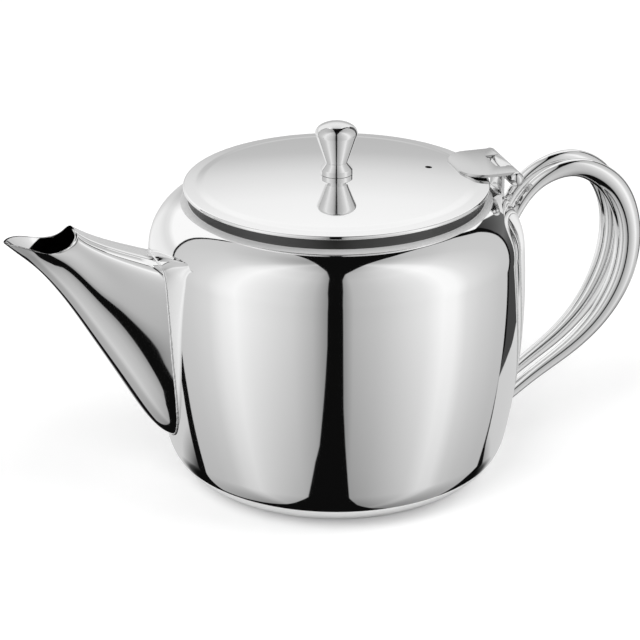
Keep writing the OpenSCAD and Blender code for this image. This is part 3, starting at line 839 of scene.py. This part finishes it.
# %% [markdown]
# ## Small steel parts
# The hinge leaf, its bracket, the screw and the washer keep the solids' own shape. A copy of each is
# welded back into whole faces, and a narrow bevel breaks its edges. Without the bevel an edge has no
# width, so it can't catch the light.

# %% Softened copies
def softened(name, solid, body, material, bevel, angle=40):
    """A copy of a CAD node with joined faces and softened edges, baked to a plain mesh."""
    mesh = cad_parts[solid].data.copy()
    work = bmesh.new()
    work.from_mesh(mesh)
    bmesh.ops.remove_doubles(work, verts=work.verts, dist=0.000004)
    bmesh.ops.dissolve_limit(work, angle_limit=math.radians(0.5), verts=work.verts, edges=work.edges)
    work.to_mesh(mesh)
    work.free()
    carrier = put_in_scene("carrier", mesh)
    edge = carrier.modifiers.new("edge", "BEVEL")
    edge.width, edge.segments = bevel * MM, 3
    edge.limit_method, edge.angle_limit = "ANGLE", math.radians(angle)
    edge.harden_normals = True
    mesh.shade_smooth()
    made = baked(carrier)
    made.set_sharp_from_angle(angle=math.radians(angle))
    add_piece(name, made, body, [solid], material)


softened("lid_hinge_leaf", "hinge_leaf", "lid", hinge_steel, 0.18)
softened("hinge_bracket_web", "hinge_bracket", "pot", turned_steel, 0.15)
softened("screw", "knob_screw", "lid", satin_steel, 0.1)
softened("washer", "knob_washer", "lid", satin_steel, 0.1)

# %% [markdown]
# ### The pin
# The pin is a plain rod whose two ends are peened to domes. It is turned upright on the lathe and
# then laid down along the hinge, together with its normals.

# %% The hinge's pin
def pin_mesh():
    """The pin with its two domes, laid down along the hinge."""
    half = LEAF_W / 2
    ball = arc(0, half, KNUCKLE_R, 0, 90, 12)
    runs = [arc(0, -half, KNUCKLE_R, -90, 0, 12), line((KNUCKLE_R, -half), (PIN_R, -half)),
            line((PIN_R, -half), (PIN_R, half)), line((PIN_R, half), (KNUCKLE_R, half)), ball]
    mesh = turned_mesh(runs, 64)
    normals = [Vector((n.vector.x, -n.vector.z, n.vector.y)) for n in mesh.corner_normals]
    mesh.transform(Matrix.Translation((HINGE_X * MM, 0, HINGE_Z * MM)) @ Matrix.Rotation(math.pi / 2, 4, "X"))
    mesh.normals_split_custom_set(normals)
    return mesh


add_piece("pin", pin_mesh(), "lid", ["hinge_pin"], turned_steel)
bpy.data.objects.remove(pot_block)

# %% [markdown]
# ## The studio
# Polished steel is lit by what stands round it. Two tall white panels wrap the near side and leave
# a narrow black gap where the camera looks through. Behind the pot a pale wall shines through a
# round opening with a black edge, and above and below everything is black. Real panels would need
# many lamps and odd shapes, so all of it is written in the world instead, as a function of
# direction, turned so that its front faces the camera.

# %% Direction, seen from the camera's side
CAMERA_AZ, CAMERA_EL = -17.0, 22.76
world = bpy.data.worlds.new("studio")
world.use_nodes = True
bpy.context.scene.world = world
sky = world.node_tree
sky.nodes.clear()


def times(a, b):
    return calc(sky, "MULTIPLY", a, b)


def plus(a, b):
    return calc(sky, "ADD", a, b)


def minus(a, b):
    return calc(sky, "SUBTRACT", a, b)


way = node(sky, "ShaderNodeTexCoord").outputs["Generated"]
turned = node(sky, "ShaderNodeVectorRotate", {"rotation_type": "Z_AXIS"}, Vector=way,
              Angle=math.radians(-CAMERA_AZ)).outputs[0]
side, past, up = node(sky, "ShaderNodeSeparateXYZ", Vector=turned).outputs
front, left = times(past, -1.0), times(side, -1.0)
azimuth = times(calc(sky, "ARCTAN2", side, front), 180 / math.pi)
elevation = times(calc(sky, "ARCSINE", up), 180 / math.pi)
print("the studio faces", CAMERA_AZ, "degrees")

# %% Steps and curves of direction
def shown(level):
    """Light level that a screen shows as this brightness, from 0 to 1."""
    return level / 12.92 if level < 0.04045 else ((level + 0.055) / 1.055) ** 2.4


def step_up(value, start, end):
    """0 below start and 1 above end, smoothly."""
    return node(sky, "ShaderNodeMapRange", {"interpolation_type": "SMOOTHSTEP"}, Value=value,
                From_Min=start, From_Max=end).outputs[0]


def above(value, limit):
    """1 where a value is above a limit, with a narrow soft edge."""
    return step_up(minus(value, limit), -0.004, 0.004)


def between(low, high, share):
    return plus(times(high, share), times(low, minus(1.0, share)))


def curve(value, stops, low=-1, high=1):
    """A number read from (place, number) stops between low and high."""
    scaled = node(sky, "ShaderNodeMapRange", Value=value, From_Min=low, From_Max=high).outputs[0]
    made = node(sky, "ShaderNodeValToRGB", i0=scaled)
    elements = made.color_ramp.elements
    elements.remove(elements[0])
    for i, (place, number) in enumerate(stops):
        spot = elements[0] if i == 0 else elements.new((place - low) / (high - low))
        spot.position = (place - low) / (high - low)
        spot.color = (number, number, number, 1)
    return made.outputs[0]


def light_curve(value, stops, low=-1, high=1):
    """Light read from (place, shown brightness) stops."""
    return curve(value, [(place, shown(level)) for place, level in stops], low, high)


# %% [markdown]
# ### Panels
# The mirror image of a straight panel on a bulging pot isn't straight. So the gap's half width is a
# curve from the back to the front, one for the upper half of the studio and one for the lower, and
# the panel's reach behind the pot is a curve from the bottom to the top.

# %% Light of the panels
panel_light = light_curve(azimuth, [
    (-150, 0.79), (-118, 0.80), (-96, 0.83), (-82, 0.87), (-72, 0.95), (-62, 0.99), (-52, 0.94),
    (-40, 0.89), (-26, 0.83), (-14, 0.73), (-5, 0.55), (4, 0.56), (10, 0.72), (24, 0.78), (40, 0.86),
    (54, 0.92), (66, 1.0), (75, 0.99), (84, 0.90), (96, 0.85), (115, 0.80), (150, 0.78)], -180, 180)
panel_fade = curve(elevation, [
    (-80, 0.25), (-62, 0.50), (-45, 0.72), (-30, 0.86), (-18, 0.96), (0, 1.0), (50, 1.0), (66, 0.88),
    (80, 0.55)], -90, 90)

# %% Outlines of the panels
# Half width of the gap between the panels, read along the front-to-back direction.
GAP_LEFT_UP = [(-0.556, 0.296), (-0.476, 0.218), (-0.43, 0.176), (-0.21, 0.141), (0.145, 0.10),
               (0.33, 0.07), (0.55, 0.06), (0.9, 0.085), (1, 0.085)]
GAP_LEFT_DOWN = [(-0.466, 0.44), (-0.205, 0.40), (0.105, 0.316), (0.41, 0.28), (0.577, 0.25),
                 (0.70, 0.19), (0.75, 0.153), (0.86, 0.113), (0.93, 0.088), (1, 0.085)]
GAP_RIGHT_UP = [(-0.606, 0.378), (-0.446, 0.30), (-0.25, 0.26), (0, 0.188), (0.29, 0.113),
                (0.43, 0.067), (0.62, 0.052), (0.9, 0.065), (1, 0.065)]
GAP_RIGHT_DOWN = [(-0.42, 0.294), (-0.09, 0.235), (0, 0.21), (0.295, 0.149), (0.41, 0.14),
                  (0.62, 0.112), (0.765, 0.08), (0.84, 0.066), (1, 0.065)]
# How far behind the pot each panel reaches, read along the upward direction.
REACH_LEFT = [(-0.95, 0.46), (-0.77, 0.45), (-0.63, 0.30), (-0.5, 0.29), (0, 0.40), (0.18, 0.442),
              (0.4, 0.478), (0.577, 0.519), (0.78, 0.556), (1, 0.57)]
REACH_RIGHT = [(-0.86, 0.42), (-0.80, 0.43), (-0.69, 0.416), (-0.56, 0.47), (-0.3, 0.55), (0.05, 0.586),
               (0.34, 0.624), (0.574, 0.642), (0.70, 0.606), (1, 0.60)]
upper = step_up(up, -0.05, 0.05)


def panel_mask(outward, gap_down, gap_up, reach):
    gap = between(curve(front, gap_down), curve(front, gap_up), upper)
    return times(above(outward, gap), above(reach, past))


reach_left, reach_right = curve(up, REACH_LEFT), curve(up, REACH_RIGHT)
on_panels = plus(panel_mask(left, GAP_LEFT_DOWN, GAP_LEFT_UP, reach_left),
                 panel_mask(side, GAP_RIGHT_DOWN, GAP_RIGHT_UP, reach_right))
panels = times(times(panel_light, panel_fade), on_panels)

# %% [markdown]
# ### Back wall
# The wall is seen only at a very flat angle, near the pot's outline. On the right a dark screen
# stands next to the panel, narrower towards its foot. A black edge parts panel and wall, so that
# the pot stands out from a white background.

# %% Light of the back wall and its screen
wall_light = light_curve(elevation, [
    (-42, 0.05), (-37, 0.30), (-33, 0.80), (-18, 0.84), (0, 0.80), (8, 0.74), (13, 0.76), (19, 0.88),
    (26, 0.96), (34, 0.99), (50, 0.96), (66, 0.85)], -90, 90)
off_middle = minus(180.0, calc(sky, "ABSOLUTE", azimuth))
wall_side = times(times(step_up(off_middle, 12.0, 26.0), 0.25), step_up(up, -0.45, -0.25))
wall = calc(sky, "MINIMUM", plus(wall_light, wall_side), 0.98)
screen_light = light_curve(up, [(-0.5, 0.25), (-0.1, 0.27), (0.1, 0.33), (0.25, 0.42), (0.4, 0.33),
                                (0.56, 0.2)])
SCREEN_REACH = [(-0.47, 0.50), (-0.455, 0.55), (-0.436, 0.62), (-0.419, 0.69), (-0.40, 0.73),
                (-0.384, 0.77), (-0.33, 0.79), (0.1, 0.84), (0.24, 0.87), (0.36, 0.84), (0.48, 0.80),
                (0.56, 0.72), (0.65, 0.60)]
screened = times(above(curve(up, SCREEN_REACH), past), step_up(side, 0.30, 0.34))
wall = between(wall, screen_light, screened)

# %% Opening in front of the wall
BACK_TOP = [(0, 0.41), (0.11, 0.43), (0.25, 0.455), (0.346, 0.565), (0.456, 0.64), (1, 0.64)]
BACK_TOP_RIGHT = [(0, 0.41), (0.25, 0.53), (0.289, 0.59), (0.33, 0.645), (0.353, 0.68), (0.40, 0.69),
                  (0.43, 0.71), (0.445, 0.74), (1, 0.74)]
BLACK_EDGE = [(-0.9, 0.25), (-0.8, 0.15), (-0.55, 0.095), (-0.3, 0.04), (0, 0.03), (1, 0.03)]
BLACK_EDGE_RIGHT = [(-0.9, 0.25), (-0.8, 0.15), (-0.59, 0.10), (-0.55, 0), (-0.46, 0), (-0.42, 0.035),
                    (0, 0.03), (0.4, 0.03), (0.5, 0.05), (0.56, 0.075), (0.7, 0.10), (1, 0.10)]
on_right = step_up(side, 0.2, 0.25)
side_reach = between(reach_left, reach_right, step_up(side, -0.01, 0.01))
edge = between(curve(up, BLACK_EDGE), curve(up, BLACK_EDGE_RIGHT), on_right)
top = between(curve(calc(sky, "ABSOLUTE", side), BACK_TOP, 0), curve(side, BACK_TOP_RIGHT, 0), on_right)
opening = calc(sky, "MINIMUM", plus(side_reach, edge), top)
not_below = step_up(elevation, -41.0, -36.0)
back = times(times(wall, above(past, opening)), not_below)

# %% The camera sees plain white, the steel sees the studio
BLACK_LEVEL = 0.004
room = plus(plus(panels, back), BLACK_LEVEL)
path = node(sky, "ShaderNodeLightPath").outputs
total = node(sky, "ShaderNodeMix", {"data_type": "FLOAT"}, Factor=path["Is Camera Ray"], A=room, B=1.0)
shine = node(sky, "ShaderNodeBackground", Color=(1, 1, 1, 1), Strength=total.outputs[0]).outputs[0]
node(sky, "ShaderNodeOutputWorld", Surface=shine)
print("studio:", len(sky.nodes), "nodes")

# %% [markdown]
# ## The floor
# A pale floor that keeps the pot's shadow. Seen by the camera it is lifted to white. The steel sees
# only the small round table top under the pot, because the panels reach below it all round.

# %% Floor
FLOOR_REACH, FLOOR_TONE, FLOOR_LIFT, TABLE_TOP_R = 3.0, 0.88, 0.25, 0.055


def floor_material():
    """Pale and matt, lifted for the camera, and clear to reflections beyond the table top."""
    material = bpy.data.materials.new("pale_floor")
    material.use_nodes = True
    tree = material.node_tree
    tree.nodes.clear()
    path = node(tree, "ShaderNodeLightPath").outputs
    pale = node(tree, "ShaderNodeBsdfDiffuse", Color=(FLOOR_TONE, FLOOR_TONE, FLOOR_TONE, 1)).outputs[0]
    lift = node(tree, "ShaderNodeEmission", Color=(1, 1, 1, 1), Strength=FLOOR_LIFT).outputs[0]
    seen = node(tree, "ShaderNodeAddShader", i0=pale, i1=lift).outputs[0]
    where = node(tree, "ShaderNodeTexCoord").outputs["Object"]
    far = node(tree, "ShaderNodeVectorMath", {"operation": "LENGTH"}, i0=where).outputs["Value"]
    beyond = calc(tree, "GREATER_THAN", far, TABLE_TOP_R)
    hidden = calc(tree, "MULTIPLY", beyond, path["Is Glossy Ray"])
    clear = node(tree, "ShaderNodeBsdfTransparent").outputs[0]
    base = node(tree, "ShaderNodeMixShader", i0=path["Is Camera Ray"], i1=pale, i2=seen).outputs[0]
    out = node(tree, "ShaderNodeMixShader", i0=hidden, i1=base, i2=clear).outputs[0]
    node(tree, "ShaderNodeOutputMaterial", Surface=out)
    return material


floor = bpy.data.meshes.new("floor")
corners = [(x * FLOOR_REACH, y * FLOOR_REACH, 0) for x, y in ((-1, -1), (1, -1), (1, 1), (-1, 1))]
floor.from_pydata(corners, [], [(0, 1, 2, 3)])
floor.materials.append(floor_material())
put_in_scene("floor", floor)

# %% [markdown]
# ## Lamps and camera
# Two soft lamps bring plain colours up to the level at which they are written. They are hidden from
# reflections, so the steel shows the panels only. The camera stands far off with a long lens, which
# keeps the pot's upright lines nearly parallel, and its small shift only sets the pot in the frame.

# %% Lamps
LAMP_AIM = Vector((0, 0, 0.05))


def lamp(name, place, power, size):
    light = bpy.data.lights.new(name, "AREA")
    light.energy, light.size = power, size
    holder = put_in_scene(name, light)
    holder.location = place
    holder.rotation_euler = (LAMP_AIM - Vector(place)).to_track_quat("-Z", "Y").to_euler()
    holder.visible_glossy = False


lamp("key", (-0.9, -0.9, 1.5), 14, 1.0)
lamp("fill", (1.1, -0.5, 1.4), 9, 1.2)

# %% Camera
PICTURE_PX, FOCAL_PX, SHIFT_PX, SENSOR_MM = 640, 2633.4, (-16.5, -3.93), 36
camera = put_in_scene("camera", bpy.data.cameras.new("camera"))
az, el, distance = math.radians(CAMERA_AZ), math.radians(CAMERA_EL), 0.9
aim = Vector((0, 0, 0.055))
back_way = Vector((math.sin(az) * math.cos(el), -math.cos(az) * math.cos(el), math.sin(el)))
camera.location = aim + back_way * distance
camera.rotation_euler = back_way.to_track_quat("Z", "Y").to_euler()
camera.data.sensor_width = SENSOR_MM
camera.data.lens = FOCAL_PX / PICTURE_PX * SENSOR_MM
camera.data.shift_x, camera.data.shift_y = [px / PICTURE_PX for px in SHIFT_PX]
bpy.context.scene.camera = camera
bpy.context.scene.view_settings.view_transform = "Standard"
print("camera:", [round(c, 3) for c in camera.location], "metres, lens", round(camera.data.lens, 1), "mm")
